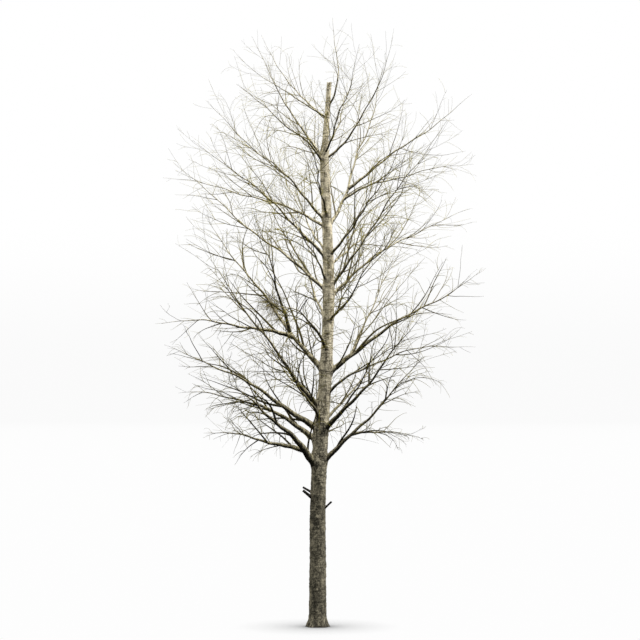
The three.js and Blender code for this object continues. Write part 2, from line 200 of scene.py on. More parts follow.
def grain(points, stretch, octaves):
    """Smooth chance relief from about -1 to 1 at each point, with its grain stretched along the axes."""
    spots = (points * np.array(stretch)).reshape(-1, 3)
    values = [noise.fractal(Vector(spot), OCTAVE_FADE, OCTAVE_STEP, octaves) for spot in spots]
    return np.array(values).reshape(points.shape[:-1])


def smooth_step(value, start, stop):
    """0 up to a start, 1 from a stop on, and a smooth rise between them."""
    share = np.clip((value - start) / (stop - start), 0, 1)
    return share * share * (3 - 2 * share)


def skin(name, rings, relief):
    """A closed piece over rings of points from root to tip, which keeps its relief, with any painted shade
    taken off it, for the bark's colour.
    """
    count, sides = rings.shape[:2]
    here = np.arange(count * sides).reshape(count, sides)
    ahead = np.roll(here, -1, axis=1)
    walls = np.stack([here[:-1], ahead[:-1], ahead[1:], here[1:]], axis=-1).reshape(-1, 4)
    foot, head = count * sides, count * sides + 1
    foot_cap = [(ahead[0, side], here[0, side], foot) for side in range(sides)]
    head_cap = [(here[-1, side], ahead[-1, side], head) for side in range(sides)]
    points = np.vstack([rings.reshape(-1, 3), rings[0].mean(0), rings[-1].mean(0)])
    mesh = bpy.data.meshes.new(name)
    mesh.from_pydata(points.tolist(), [], walls.tolist() + foot_cap + head_cap)
    kept = mesh.attributes.new("relief", "FLOAT", "POINT")
    kept.data.foreach_set("value", np.append(relief.ravel(), [0.0, 0.0]).astype(np.float32))
    mesh.shade_smooth()
    piece = bpy.data.objects.new(name, mesh)
    bpy.context.scene.collection.objects.link(piece)
    return piece


def tone(red, green, blue):
    """A colour as a screen shows it, from 0 to 255, as the light that a surface gives back."""
    seen = np.array([red, green, blue]) / 255
    light = np.where(seen <= 0.04045, seen / 12.92, ((seen + 0.055) / 1.055) ** 2.4)
    return (*light, 1.0)


def bark_group():
    """Shader group for bark: mottles, streaks along the stem, lines of pores across it, grit, and crevices,
    which also take the painted shade that the relief brings.
    """
    group = bpy.data.node_groups.new("bark", "ShaderNodeTree")
    sockets = group.interface
    for label, kind in [
        ("Crevice", "NodeSocketColor"),
        ("Shade", "NodeSocketColor"),
        ("Face", "NodeSocketColor"),
        ("Relief", "NodeSocketFloat"),
        ("Grain", "NodeSocketFloat"),
        ("Pores", "NodeSocketFloat"),
    ]:
        sockets.new_socket(label, in_out="INPUT", socket_type=kind)
    sockets.new_socket("Color", in_out="OUTPUT", socket_type="NodeSocketColor")
    sockets.new_socket("Height", in_out="OUTPUT", socket_type="NodeSocketFloat")
    nodes, links = group.nodes, group.links
    given, out = nodes.new("NodeGroupInput"), nodes.new("NodeGroupOutput")
    place = nodes.new("ShaderNodeTexCoord")

    def pattern(stretch, fineness, detail):
        spread = nodes.new("ShaderNodeMapping")
        spread.inputs["Scale"].default_value = stretch
        links.new(place.outputs["Object"], spread.inputs["Vector"])
        size = nodes.new("ShaderNodeMath")
        size.operation = "MULTIPLY"
        size.inputs[1].default_value = fineness
        links.new(given.outputs["Grain"], size.inputs[0])
        cloud = nodes.new("ShaderNodeTexNoise")
        cloud.inputs["Detail"].default_value = detail
        links.new(spread.outputs["Vector"], cloud.inputs["Vector"])
        links.new(size.outputs[0], cloud.inputs["Scale"])
        return cloud.outputs["Fac"]

    def ranged(value, taken, made):
        change = nodes.new("ShaderNodeMapRange")
        change.inputs["From Min"].default_value, change.inputs["From Max"].default_value = taken
        change.inputs["To Min"].default_value, change.inputs["To Max"].default_value = made
        links.new(value, change.inputs["Value"])
        return change.outputs["Result"]

    def worked(operation, first, second):
        both = nodes.new("ShaderNodeMath")
        both.operation = operation
        links.new(first, both.inputs[0])
        links.new(second, both.inputs[1])
        return both.outputs[0]

    def summed(first, second):
        return worked("ADD", first, second)

    def multiplied(first, second):
        return worked("MULTIPLY", first, second)

    def mixed(share, first, second):
        blend = nodes.new("ShaderNodeMix")
        blend.data_type = "RGBA"
        links.new(share, blend.inputs["Factor"])
        links.new(first, blend.inputs["A"])
        links.new(second, blend.inputs["B"])
        return blend.outputs["Result"]

    streaks = pattern(stretch=(1, 1, 0.12), fineness=0.8, detail=4)
    mottles = pattern(stretch=(1, 1, 0.6), fineness=0.35, detail=6)
    grit = pattern(stretch=(1, 1, 1), fineness=1.7, detail=4)
    dashes = pattern(stretch=(0.25, 0.25, 2.2), fineness=1.0, detail=3)
    pores = multiplied(ranged(dashes, taken=(0.55, 0.66), made=(0, 0.8)), given.outputs["Pores"])
    crevices_and_painted_shade = ranged(given.outputs["Relief"], taken=(-0.15, -0.75), made=(0, 0.85))
    shading = summed(
        ranged(streaks, taken=(0.3, 0.7), made=(-0.3, 0.3)),
        ranged(mottles, taken=(0.3, 0.7), made=(-0.2, 0.8)))
    shading = summed(shading, ranged(grit, taken=(0.3, 0.7), made=(-0.25, 0.65)))
    plain = mixed(shading, given.outputs["Shade"], given.outputs["Face"])
    pored = mixed(pores, plain, given.outputs["Crevice"])
    links.new(mixed(crevices_and_painted_shade, pored, given.outputs["Crevice"]), out.inputs["Color"])
    height = summed(summed(streaks, grit), ranged(pores, taken=(0, 1), made=(0, -0.6)))
    links.new(height, out.inputs["Height"])
    return group


BARK = bark_group()


def bark_material(
    name, crevice, low_shade, low_face, high_shade, high_face, change, grain_scale, pores, depth,
):
    """Bark on a piece, with one pair of tones low on the tree and another above, and a finish of its own."""
    material = bpy.data.materials.new(name)
    material.use_nodes = True
    nodes, links = material.node_tree.nodes, material.node_tree.links
    surface = nodes["Principled BSDF"]
    surface.inputs["Roughness"].default_value = BARK_ROUGHNESS
    surface.inputs["Specular IOR Level"].default_value = BARK_SPECULAR
    bark = nodes.new("ShaderNodeGroup")
    bark.node_tree = BARK
    bark.inputs["Crevice"].default_value = crevice
    bark.inputs["Grain"].default_value = grain_scale
    bark.inputs["Pores"].default_value = pores
    # The relief attribute also brings painted shade, which darkens the bark like its crevices
    relief = nodes.new("ShaderNodeAttribute")
    relief.attribute_name = "relief"
    links.new(relief.outputs["Fac"], bark.inputs["Relief"])
    place = nodes.new("ShaderNodeTexCoord")
    upward = nodes.new("ShaderNodeSeparateXYZ")
    links.new(place.outputs["Object"], upward.inputs["Vector"])
    rise = nodes.new("ShaderNodeMapRange")
    rise.interpolation_type = "SMOOTHSTEP"
    rise.inputs["From Min"].default_value, rise.inputs["From Max"].default_value = change
    links.new(upward.outputs["Z"], rise.inputs["Value"])
    for socket, low, high in [("Shade", low_shade, high_shade), ("Face", low_face, high_face)]:
        blend = nodes.new("ShaderNodeMix")
        blend.data_type = "RGBA"
        blend.inputs["A"].default_value = low
        blend.inputs["B"].default_value = high
        links.new(rise.outputs["Result"], blend.inputs["Factor"])
        links.new(blend.outputs["Result"], bark.inputs[socket])
    bump = nodes.new("ShaderNodeBump")
    bump.inputs["Strength"].default_value = BARK_BUMP
    bump.inputs["Distance"].default_value = depth
    links.new(bark.outputs["Height"], bump.inputs["Height"])
    links.new(bark.outputs["Color"], surface.inputs["Base Color"])
    links.new(bump.outputs["Normal"], surface.inputs["Normal"])
    return material


heights = TRUNK_TOP * np.linspace(0, 1, TRUNK_RINGS) ** RING_CROWDING
bearings = np.linspace(0, 2 * math.pi, TRUNK_SIDES, endpoint=False)
outward = np.column_stack([np.cos(bearings), np.sin(bearings), np.zeros(TRUNK_SIDES)])
centres, radii = trunk_at(heights)
plain_rings = centres[:, None] + radii[:, None, None] * outward
lobes = 1 - LOBE_DEPTH + LOBE_DEPTH * np.cos(FLARE_LOBES * (bearings - math.radians(FIRST_LOBE)))
flare = FLARE * ((1 - heights / FLARE_RISE).clip(0) ** FLARE_CURVE)[:, None] * lobes
age = 1 - SMOOTHING * smooth_step(heights, *SMOOTHING_BAND)[:, None]
plates = np.abs(grain(plain_rings, PLATE_GRAIN, PLATE_OCTAVES)) - PLATE_EDGE
scars = np.clip(1 - SCAR_SHARPNESS * np.abs(grain(plain_rings, SCAR_GRAIN, TRUNK_OCTAVES)), 0, 1)
pores = grain(plain_rings, PORE_GRAIN, TRUNK_OCTAVES)
lumps = grain(plain_rings, LUMP_GRAIN, TRUNK_OCTAVES)
collars = np.zeros((TRUNK_RINGS, TRUNK_SIDES))
knots_and_shade = np.zeros((TRUNK_RINGS, TRUNK_SIDES))
for _, carrier, at, bearing, _, _, leave, _, girth, _ in LIMBS:
    if carrier == "trunk":
        way = heading(bearing, leave)
        from_root = plain_rings - trunk_at(at)[0][0]
        along = from_root @ way
        aside = np.linalg.norm(from_root - along[..., None] * way, axis=-1)
        gap = np.clip(aside - COLLAR_GIRTH * girth, 0, COLLAR_REACH * girth)
        rise = (COLLAR_REACH * girth - gap) ** 2 / (4 * COLLAR_REACH * girth)
        collars = np.maximum(collars, rise * smooth_step(along, 0, COLLAR_FADE * girth))
        # Painted shade, with darker knot bark, on the trunk round the root of each limb
        spread = np.exp(-(aside / (KNOT_AND_SHADE_REACH * girth)) ** 2)
        knots_and_shade = np.maximum(knots_and_shade, spread * smooth_step(along, 0, girth))
stand = flare + LUMP * lumps + FURROW * age * plates + SCAR * scars + PORE * pores + collars
trunk_rings = plain_rings + stand[..., None] * outward
trunk_rings[-1, :, 2] += BREAK * grain(plain_rings[-1:], BREAK_GRAIN, TRUNK_OCTAVES)[0]
trunk_rings[0, :, 2] = 0
# Painted shade at the foot where the trunk meets the ground
foot_shade = FOOT_PAINTED_SHADE * np.exp(-heights / FOOT_SHADE_RISE)[:, None]
furrows = FURROW_SHADE * age * plates - SCAR_SHADE * (1 - age) * scars
trunk_piece = skin("stem", trunk_rings, furrows - foot_shade - KNOT_AND_SHADE * knots_and_shade)
trunk_piece.data.materials.append(bark_material(
    "trunk bark",
    crevice=tone(36, 33, 28),
    low_shade=tone(52, 51, 45),
    low_face=tone(136, 131, 118),
    high_shade=tone(114, 108, 95),
    high_face=tone(246, 238, 220),
    change=(2.3, 6.8),
    grain_scale=26,
    pores=1.0,
    depth=0.006,
))
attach(trunk_piece, "root")
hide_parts("trunk")


# Pruned stubs: the ends of three limbs that were sawn off when the stem was cleared.
# They are dead and almost black, with a flat sawn face, and are rooted in the trunk.
STUBS = [  # height, bearing, reach, rise, width across
    (2.740, 165, 0.330, 0.185, 0.044),
    (2.600, 196, 0.325, 0.260, 0.056),
    (2.350, 350, 0.295, 0.275, 0.040),
]
STUB_SIDES = 16
STUB_RINGS = 36
STUB_START = 0.3
STUB_COLLAR = 0.5
STUB_COLLAR_END = 0.4
STUB_COLLAR_FADE = 6
STUB_RELIEF = 0.12
STUB_GRAIN = (30, 30, 30)
ROUGH_OCTAVES = 3


def rings_along(path, radii, sides):
    """Rings of points round a path, square to it and without twist."""
    ways = np.gradient(path, axis=0)
    ways /= np.linalg.norm(ways, axis=1)[:, None]
    side = np.cross([0, 0, 1], ways[0])
    turns = np.linspace(0, 2 * math.pi, sides, endpoint=False)
    rings = []
    for spot, way, radius in zip(path, ways, radii):
        side = side - way * side.dot(way)
        side /= np.linalg.norm(side)
        top = np.cross(way, side)
        rings.append(spot + radius * (np.outer(np.cos(turns), side) + np.outer(np.sin(turns), top)))
    return np.array(rings)


def roughen(path, rings, depth, stretch):
    """Rings moved in and out by a chance relief, and that relief."""
    relief = grain(rings, stretch, ROUGH_OCTAVES)
    outward = rings - path[:, None]
    return rings + outward * (depth * relief)[..., None], relief


dead_bark = bark_material(
    "dead bark",
    crevice=tone(8, 7, 6),
    low_shade=tone(14, 13, 11),
    low_face=tone(30, 26, 22),
    high_shade=tone(14, 13, 11),
    high_face=tone(30, 26, 22),
    change=(2.0, 3.0),
    grain_scale=60,
    pores=0.5,
    depth=0.003,
)
for number, (height, bearing, reach, rise, across) in enumerate(STUBS, 1):
    root = trunk_at(height)[0][0]
    along = np.linspace(STUB_START, 1, STUB_RINGS)[:, None]
    stub_path = root + along * (reach * heading(bearing, 0) + np.array([0, 0, rise]))
    collar = 1 + STUB_COLLAR * np.exp(-STUB_COLLAR_FADE * (along[:, 0] - STUB_COLLAR_END).clip(0))
    stub_rings = rings_along(stub_path, across / 2 * collar, STUB_SIDES)
    stub_rings, stub_relief = roughen(stub_path, stub_rings, STUB_RELIEF, STUB_GRAIN)
    stub = skin(f"pruned_stub_{number}", stub_rings, stub_relief)
    stub.data.materials.append(dead_bark)
    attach(stub, "root")
    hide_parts("trunk")


# Limbs: the boughs that leave the trunk, or fork from another bough, each one tapering limb to its tip.
# Young grey-brown bark, smoother than the trunk's, with painted shade on the underside of each limb, darker
# low in the crown as painted shade from the crown above, and swollen at the root.
LIMB_TIP = 0.0016
LIMB_TAPER = 1.08
LIMB_WANDER = 0.012
SIDE_WAVES = 2
RISE_WAVES = 1.5
LIMB_CROOK = 0.003
CROOK_WAVES = 6.5
SIDE_CROOK_CURVE = 0.8
RISE_CROOK_CURVE = 0.7
AXIS_SAMPLES = 32
LIMB_COLLAR = 0.2
LIMB_COLLAR_FADE = 0.8
ROOT_SWELL = 0.6
ROOT_SWELL_FADE = 0.9
LIMB_STEP = 0.03
LIMB_SIDES = 14
LIMB_RELIEF = 0.09
LIMB_GRAIN = (22, 22, 22)
# Painted shade on the underside of limbs: its strength, and the downward slant of the surface over which it
# grows
PAINTED_UNDERSIDE_SHADE = 1.1
PAINTED_UNDERSIDE_BAND = (-0.35, 0.55)


def chance(seed, draw):
    """A repeatable number from 0 to 1 for one draw of a limb or shoot."""
    bits = (seed + draw * 0x9E3779B1 & 0xFFFFFFFF) * 0x85EBCA6B & 0xFFFFFFFF
    bits = (bits ^ bits >> 13) * 0xC2B2AE35 & 0xFFFFFFFF
    return (bits ^ bits >> 16) / 2 ** 32


def limb_points(limb, along):
    """Places on a limb's axis at shares of its length: a smooth bend with a slight wander."""
    share = along[:, None]
    bend = (1 - share) ** 3 * limb.root + 3 * (1 - share) ** 2 * share * limb.leaving
    bend = bend + 3 * (1 - share) * share ** 2 * limb.arriving + share ** 3 * limb.tip
    swing = LIMB_WANDER * limb.length * np.sin(math.pi * along)
    aside = swing * np.sin(2 * math.pi * (SIDE_WAVES * along + chance(limb.seed, 1)))
    above = swing * np.sin(2 * math.pi * (RISE_WAVES * along + chance(limb.seed, 2)))
    crook = LIMB_CROOK * limb.length * np.sqrt(np.sin(math.pi * along).clip(0))
    side_turns = CROOK_WAVES * along ** SIDE_CROOK_CURVE + chance(limb.seed, 7)
    rise_turns = CROOK_WAVES * along ** RISE_CROOK_CURVE + chance(limb.seed, 8)
    aside = aside + crook * np.sin(2 * math.pi * side_turns)
    above = above + crook * np.sin(2 * math.pi * rise_turns)
    bend = bend + aside[:, None] * heading(limb.bearing + 90, 0)
    bend[:, 2] += above
    return bend


def limb_radius(limb, along):
    """Radius of a limb at shares of its length, before its collar and its bark."""
    return LIMB_TIP + (limb.girth / 2 - LIMB_TIP) * (1 - along) ** LIMB_TAPER


limbs = {}
for seed, (name, carrier, at, bearing, reach, rise, leave, arrive, girth, bare) in enumerate(LIMBS, 1):
    limb = SimpleNamespace(name=name, seed=seed, bearing=bearing, girth=girth, bare=bare)
    if carrier == "trunk":
        limb.root = trunk_at(at)[0][0]
        limb.buried = trunk_at(at)[1][0]
    else:
        limb.root = limb_points(limbs[carrier], np.array([at]))[0]
        limb.buried = limb_radius(limbs[carrier], at)
    limb.tip = limb.root + reach * heading(bearing, 0) + np.array([0, 0, rise])
    limb.length = np.linalg.norm(limb.tip - limb.root)
    limb.leaving = limb.root + heading(bearing, leave) * limb.length / 3
    limb.arriving = limb.tip - heading(bearing, arrive) * limb.length / 3
    limb.axis = limb_points(limb, np.linspace(0, 1, AXIS_SAMPLES + 1))
    limbs[name] = limb

# The limb tones are darker low in the crown, as painted shade from the crown above
limb_bark = bark_material(
    "limb bark",
    crevice=tone(27, 25, 19),
    low_shade=tone(42, 40, 33),
    low_face=tone(152, 146, 125),
    high_shade=tone(72, 68, 56),
    high_face=tone(221, 214, 192),
    change=(4.2, 8.0),
    grain_scale=60,
    pores=0.3,
    depth=0.003,
)
for limb in limbs.values():
    along = np.linspace(0, 1, int(limb.length / LIMB_STEP))
    path = limb_points(limb, along)
    out = (np.linalg.norm(path - limb.root, axis=1) - limb.buried).clip(0)
    collar = 1 + LIMB_COLLAR * np.exp(-out / (LIMB_COLLAR_FADE * limb.girth))
    collar = collar + ROOT_SWELL * np.exp(-out / ROOT_SWELL_FADE)
    limb_rings = rings_along(path, limb_radius(limb, along) * collar, LIMB_SIDES)
    limb_rings, limb_relief = roughen(path, limb_rings, LIMB_RELIEF, LIMB_GRAIN)
    # Painted shade darkens the underside of each limb through its relief
    outward = limb_rings - path[:, None]
    downward = -outward[..., 2] / np.linalg.norm(outward, axis=-1)
    shade = PAINTED_UNDERSIDE_SHADE * smooth_step(downward, *PAINTED_UNDERSIDE_BAND)
    piece = skin(f"limb_{limb.name}", limb_rings, limb_relief - shade)
    piece.data.materials.append(limb_bark)
    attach(piece, "root")
    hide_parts(*([f"bough_{limb.name}"] if limb.bare else []), f"twigs_{limb.name}")


# Branches, twigs and sprigs: the finer wood of each limb, grown from it order by order.
# Smooth young bark, grey-brown on branches and olive-yellow on twigs, darker low in the crown as painted
# shade from the crown above, and paler on the right as painted light.
# Each shoot is rooted in its parent and stops where it would leave the crown or come too near other limbs.
PAST_BOUGH = 0.03
LAST_SHOOT = 0.97
LEAST_STEPS = 2
GOLDEN_ANGLE = math.radians(137.5)
PLACE_SPREAD = 0.6
AROUND_SPREAD = 0.4
LENGTH_SPREAD = 0.4
# The rules of growth: a parent bears the least number of shoots and one more for each spacing of its length,
# from the first share of it on. They turn off it by some degrees and a spread, and are as long as a share of
# it, from its foot to its tip. In their steps they wander, curl, and droop low in the crown or lift above.
# They stop where another limb is as near as their own and apart together, feather out short of the crown's
# edge, and taper to thin from a radius of at most thick and a share of the parent's.
BRANCH = SimpleNamespace(
    least=2, spacing=0.72, first=0.28, turn=28, turn_spread=24, long_at_foot=0.5, long_at_tip=0.2,
    steps=6, wander=0.24, curl=0, droop=-0.1, lift=0.1, apart=0.06, feather=0,
    share=0.7, thick=0.019, thin=0.0019)
SIDE_BRANCH = SimpleNamespace(
    least=3, spacing=1.0, first=0.06, turn=16, turn_spread=28, long_at_foot=0.6, long_at_tip=0.25,
    steps=7, wander=0.25, curl=0.14, droop=-0.1, lift=0.0, apart=-0.6, feather=0.4,
    share=0.9, thick=0.027, thin=0.0019)
UPRIGHT = SimpleNamespace(
    least=1, spacing=0.5, first=0.2, turn=20, turn_spread=30, long_at_foot=1.5, long_at_tip=1.2,
    steps=8, wander=0.3, curl=0, droop=0.34, lift=0.34, apart=-0.9, feather=0,
    share=0.7, thick=0.020, thin=0.0021)
UPRIGHT_TWIG = SimpleNamespace(
    least=3, spacing=0.32, first=0.2, turn=28, turn_spread=32, long_at_foot=0.55, long_at_tip=0.35,
    steps=6, wander=0.28, curl=0.17, droop=-0.2, lift=-0.05, apart=-0.9, feather=0,
    share=0.7, thick=0.0065, thin=0.0018)
SPUR = SimpleNamespace(
    least=1, spacing=0.42, first=0.14, turn=32, turn_spread=40, long_at_foot=0.3, long_at_tip=0.08,
    steps=6, wander=0.28, curl=0.2, droop=-0.2, lift=-0.05, apart=-0.6, feather=0,
    share=0.6, thick=0.0050, thin=0.0015)
TWIG = SimpleNamespace(
    least=2, spacing=0.3, first=0.18, turn=28, turn_spread=28, long_at_foot=0.7, long_at_tip=0.4,
    steps=5, wander=0.3, curl=0.17, droop=-0.3, lift=-0.07, apart=-0.6, feather=0.5,
    share=0.7, thick=0.0060, thin=0.0019)
SIDE_TWIG = SimpleNamespace(
    least=2, spacing=0.37, first=0.15, turn=26, turn_spread=36, long_at_foot=0.6, long_at_tip=0.4,
    steps=6, wander=0.28, curl=0.17, droop=-0.3, lift=-0.07, apart=-0.6, feather=0.6,
    share=0.7, thick=0.0075, thin=0.0020)
SPRIG = SimpleNamespace(
    least=0, spacing=1.4, first=0.2, turn=20, turn_spread=32, long_at_foot=0.9, long_at_tip=0.7,
    steps=5, wander=0.25, curl=0.17, droop=-0.3, lift=-0.08, apart=-0.6, feather=0.7,
    share=0.7, thick=0.0039, thin=0.0017)
TIP_TWIG = SimpleNamespace(
    least=3, spacing=0.6, first=0.5, turn=14, turn_spread=32, long_at_foot=0.36, long_at_tip=0.18,
    steps=6, wander=0.26, curl=0.12, droop=-0.14, lift=-0.04, apart=-0.6, feather=0.24,
    share=0.7, thick=0.0027, thin=0.0012)
BROOM_TWIG = SimpleNamespace(
    least=160, spacing=1.0, first=0.0, turn=20, turn_spread=150, long_at_foot=2.2, long_at_tip=1.8,
    steps=6, wander=1.3, curl=0.2, droop=-0.04, lift=-0.02, apart=-0.6, feather=0,
    share=0.5, thick=0.0046, thin=0.0026)
# Numbers that keep the chance draws of the shoots apart
FAMILY = 40
SPUR_SEEDS = 500
SIDE_SEEDS = 1000
TIP_SEEDS = 1500
BROOM_SEEDS = 2000
UPRIGHT_SEEDS = 2500
DRAWS = 10
CURL_DRAWS = (7, 8, 9)
# Every shoot keeps clear of the trunk, within the crown's rounded outline
TRUNK_CLEAR = 0.08
CROWN_FOOT = 2.9
CROWN_TOP = 12.95
CROWN_RADIUS = 3.52
CROWN_LEAN = 0.09
CROWN_ROUNDNESS = 2.5
# From the crown's foot to half its height, droop turns into lift
LEVEL_GAIN = 2
# Feathered shoots stand wider apart low in the crown, wider or closer on some limbs, and end nearer the
# crown's edge when low
LOW_CROWN = (3.8, 6.5)
LOW_SPACING = 1.08
FEATHER_LOW = 0.3
FEATHER_RISE = 0.7
SPACED = {
    "left_2": 0.55, "left_3": 1.25, "left_4": 1.2, "left_5": 1.45, "left_6": 1.5,
    "left_7": 1.35, "left_8": 1.4, "left_9": 1.35, "left_10": 1.25,
    "right_1": 1.2, "right_2": 1.5, "right_3": 2.0, "right_4": 3.2, "right_5": 1.5,
    "right_6": 1.35, "right_7": 1.4,
    "front_1": 1.7, "front_3": 1.6, "front_4": 1.5, "front_5": 1.4,
    "back_2": 1.8, "back_3": 1.2, "back_4": 3.2, "back_5": 1.2, "back_6": 1.5,
}
BATCH = 2000
axes = np.array([limb.axis for limb in limbs.values()])
crowding = np.array([SPACED.get(name, 1) for name in limbs])


def on_paths(parents, rows, share):
    """Places and ways on the parents' paths at shares of their length, on a curve through their points."""
    last = parents.last[rows]
    spot = share * last
    low = np.minimum(spot.astype(int), last - 1)
    step = (spot - low)[:, None]
    here, there = parents.path[rows, low], parents.path[rows, low + 1]
    behind = np.where((low > 0)[:, None], parents.path[rows, low - 1], 2 * here - there)
    beyond = parents.path[rows, np.minimum(low + 2, last)]
    beyond = np.where((low + 2 <= last)[:, None], beyond, 2 * there - here)
    first = (there - behind) / 2
    second = behind - 2.5 * here + 2 * there - beyond / 2
    third = (beyond - behind) / 2 + 1.5 * (here - there)
    place = here + step * (first + step * (second + step * third))
    way = first + step * (2 * second + 3 * step * third)
    return place, way / np.linalg.norm(way, axis=1)[:, None]


def in_own_space(places, owners, apart, reach):
    """Whether each place is clear of the trunk, within reach in the crown, and near its own limb."""
    centre, radius = trunk_at(places[:, 2])
    clear = np.hypot(*(places - centre).T[:2]) >= radius + TRUNK_CLEAR
    middle = (CROWN_FOOT + CROWN_TOP) / 2
    across = np.hypot(places[:, 0] - CROWN_LEAN, places[:, 1]) / CROWN_RADIUS
    upward = np.abs(places[:, 2] - middle) / (CROWN_TOP - middle)
    clear &= across ** CROWN_ROUNDNESS + upward ** CROWN_ROUNDNESS <= reach ** CROWN_ROUNDNESS
    samples = axes.reshape(-1, 3)
    for start in range(0, len(places), BATCH):
        some = slice(start, start + BATCH)
        squares = (places[some] ** 2).sum(1)[:, None] + (samples ** 2).sum(1) - 2 * places[some] @ samples.T
        gaps = np.sqrt(squares.clip(0)).reshape(-1, *axes.shape[:2]).min(2)
        row = np.arange(len(gaps))
        own = gaps[row, owners[some]]
        gaps[row, owners[some]] = np.inf
        clear[some] &= gaps.min(1) > own + apart
    return clear


def grow(parents, rule, first, seeds=0):
    """The shoots that parents bear by a rule, spiralling round each from its first share to its tip."""
    sparse = LOW_SPACING + (1 - LOW_SPACING) * smooth_step(parents.path[:, 0, 2], *LOW_CROWN)
    sparse = np.where(rule.feather > 0, sparse * crowding[parents.owner], 1)
    counts = rule.least + np.floor(parents.length / (rule.spacing * sparse) + 0.5).astype(int)
    rows = np.repeat(np.arange(len(counts)), counts)
    index = np.arange(len(rows)) - np.repeat(np.cumsum(counts) - counts, counts)
    parent_seed = parents.seed[rows] + seeds
    seed = parent_seed * FAMILY + index + 1
    place = index + 0.5 + PLACE_SPREAD * (chance(seed, 1) - 0.5)
    along = first[rows] + (LAST_SHOOT - first[rows]) * place / counts[rows]
    turn = np.radians(rule.turn + rule.turn_spread * chance(seed, 2))[:, None]
    aside = chance(parent_seed, 3) + AROUND_SPREAD * chance(seed, 3)
    around = (GOLDEN_ANGLE * index + math.pi * aside)[:, None]
    length = rule.long_at_foot + (rule.long_at_tip - rule.long_at_foot) * along
    length = parents.length[rows] * length * (1 + LENGTH_SPREAD * (chance(seed, 4) - 0.5))
    root, onward = on_paths(parents, rows, along)
    side = np.cross([0, 0, 1], onward)
    side /= np.linalg.norm(side, axis=1)[:, None]
    top = np.cross(onward, side)
    way = onward * np.cos(turn) + np.sin(turn) * (side * np.cos(around) + top * np.sin(around))
    owners = parents.owner[rows]
    short = FEATHER_LOW + FEATHER_RISE * smooth_step(root[:, 2], *LOW_CROWN)
    reach = 1 - rule.feather * chance(seed, 6) * short
    curl = 2 * rule.curl * (np.column_stack([chance(seed, draw) for draw in CURL_DRAWS]) - 0.5)
    path = np.repeat(root[:, None], rule.steps + 1, axis=1)
    last = np.zeros(len(rows), int)
    growing = np.ones(len(rows), bool)
    for step in range(1, rule.steps + 1):
        ahead = path[:, step - 1] + way * (length / rule.steps)[:, None]
        growing &= in_own_space(ahead, owners, rule.apart, reach)
        path[:, step] = np.where(growing[:, None], ahead, path[:, step - 1])
        last[growing] = step
        level = np.clip((ahead[:, 2] - CROWN_FOOT) / (CROWN_TOP - CROWN_FOOT) * LEVEL_GAIN, 0, 1)
        bends = [chance(seed, DRAWS * axis + step) - 0.5 for axis in (1, 2, 3)]
        way = way + rule.wander * np.column_stack(bends) + curl
        way[:, 2] += rule.droop + (rule.lift - rule.droop) * level
        way /= np.linalg.norm(way, axis=1)[:, None]
    kept = last >= LEAST_STEPS
    grown = length * last / rule.steps
    return SimpleNamespace(
        path=path[kept], last=last[kept], length=grown[kept], seed=seed[kept], owner=owners[kept],
        parent=rows[kept], along=along[kept], rule=rule)


count = len(limbs)
stems = SimpleNamespace(
    path=axes,
    last=np.full(count, AXIS_SAMPLES),
    length=np.array([limb.length for limb in limbs.values()]),
    seed=np.arange(1, count + 1),
    owner=np.arange(count))
bare = np.array([limb.bare for limb in limbs.values()])
girths = np.array([limb.girth for limb in limbs.values()])


def starts(parents, share):
    """The same first share for all parents."""
    return np.full(len(parents.length), share)


branches = grow(stems, BRANCH, np.maximum(BRANCH.first, bare + PAST_BOUGH))
sides = grow(stems, SIDE_BRANCH, starts(stems, SIDE_BRANCH.first), SIDE_SEEDS)

# Some limbs also bear steep branches at their feet, which rise close beside the trunk
UPRIGHT_LIMBS = [
    "back_3", "left_5", "right_4", "left_6", "front_4", "back_5", "front_5", "right_5", "left_8", "right_6",
    "front_9", "left_12", "left_13",
]
FOOT_SAMPLES = 7
names = list(limbs)
upright_rows = np.array([names.index(name) for name in UPRIGHT_LIMBS])
feet = SimpleNamespace(
    path=axes[upright_rows, :FOOT_SAMPLES + 1],
    last=np.full(len(upright_rows), FOOT_SAMPLES),
    length=stems.length[upright_rows] * FOOT_SAMPLES / AXIS_SAMPLES,
    seed=stems.seed[upright_rows],
    owner=upright_rows)
uprights = grow(feet, UPRIGHT, starts(feet, UPRIGHT.first), UPRIGHT_SEEDS)
uprights.parent = upright_rows[uprights.parent]
uprights.along = uprights.along * FOOT_SAMPLES / AXIS_SAMPLES

spurs = grow(stems, SPUR, starts(stems, SPUR.first), SPUR_SEEDS)
twigs = grow(branches, TWIG, starts(branches, TWIG.first))
side_twigs = grow(sides, SIDE_TWIG, starts(sides, SIDE_TWIG.first))
upright_twigs = grow(uprights, UPRIGHT_TWIG, starts(uprights, UPRIGHT_TWIG.first))
twig_sprigs = grow(twigs, SPRIG, starts(twigs, SPRIG.first))
side_sprigs = grow(side_twigs, SPRIG, starts(side_twigs, SPRIG.first))
upright_sprigs = grow(upright_twigs, SPRIG, starts(upright_twigs, SPRIG.first))
spur_sprigs = grow(spurs, SPRIG, starts(spurs, SPRIG.first))
limb_tips = grow(stems, TIP_TWIG, starts(stems, TIP_TWIG.first), TIP_SEEDS)
side_tips = grow(sides, TIP_TWIG, starts(sides, TIP_TWIG.first), TIP_SEEDS)
branch_tips = grow(branches, TIP_TWIG, starts(branches, TIP_TWIG.first), TIP_SEEDS)

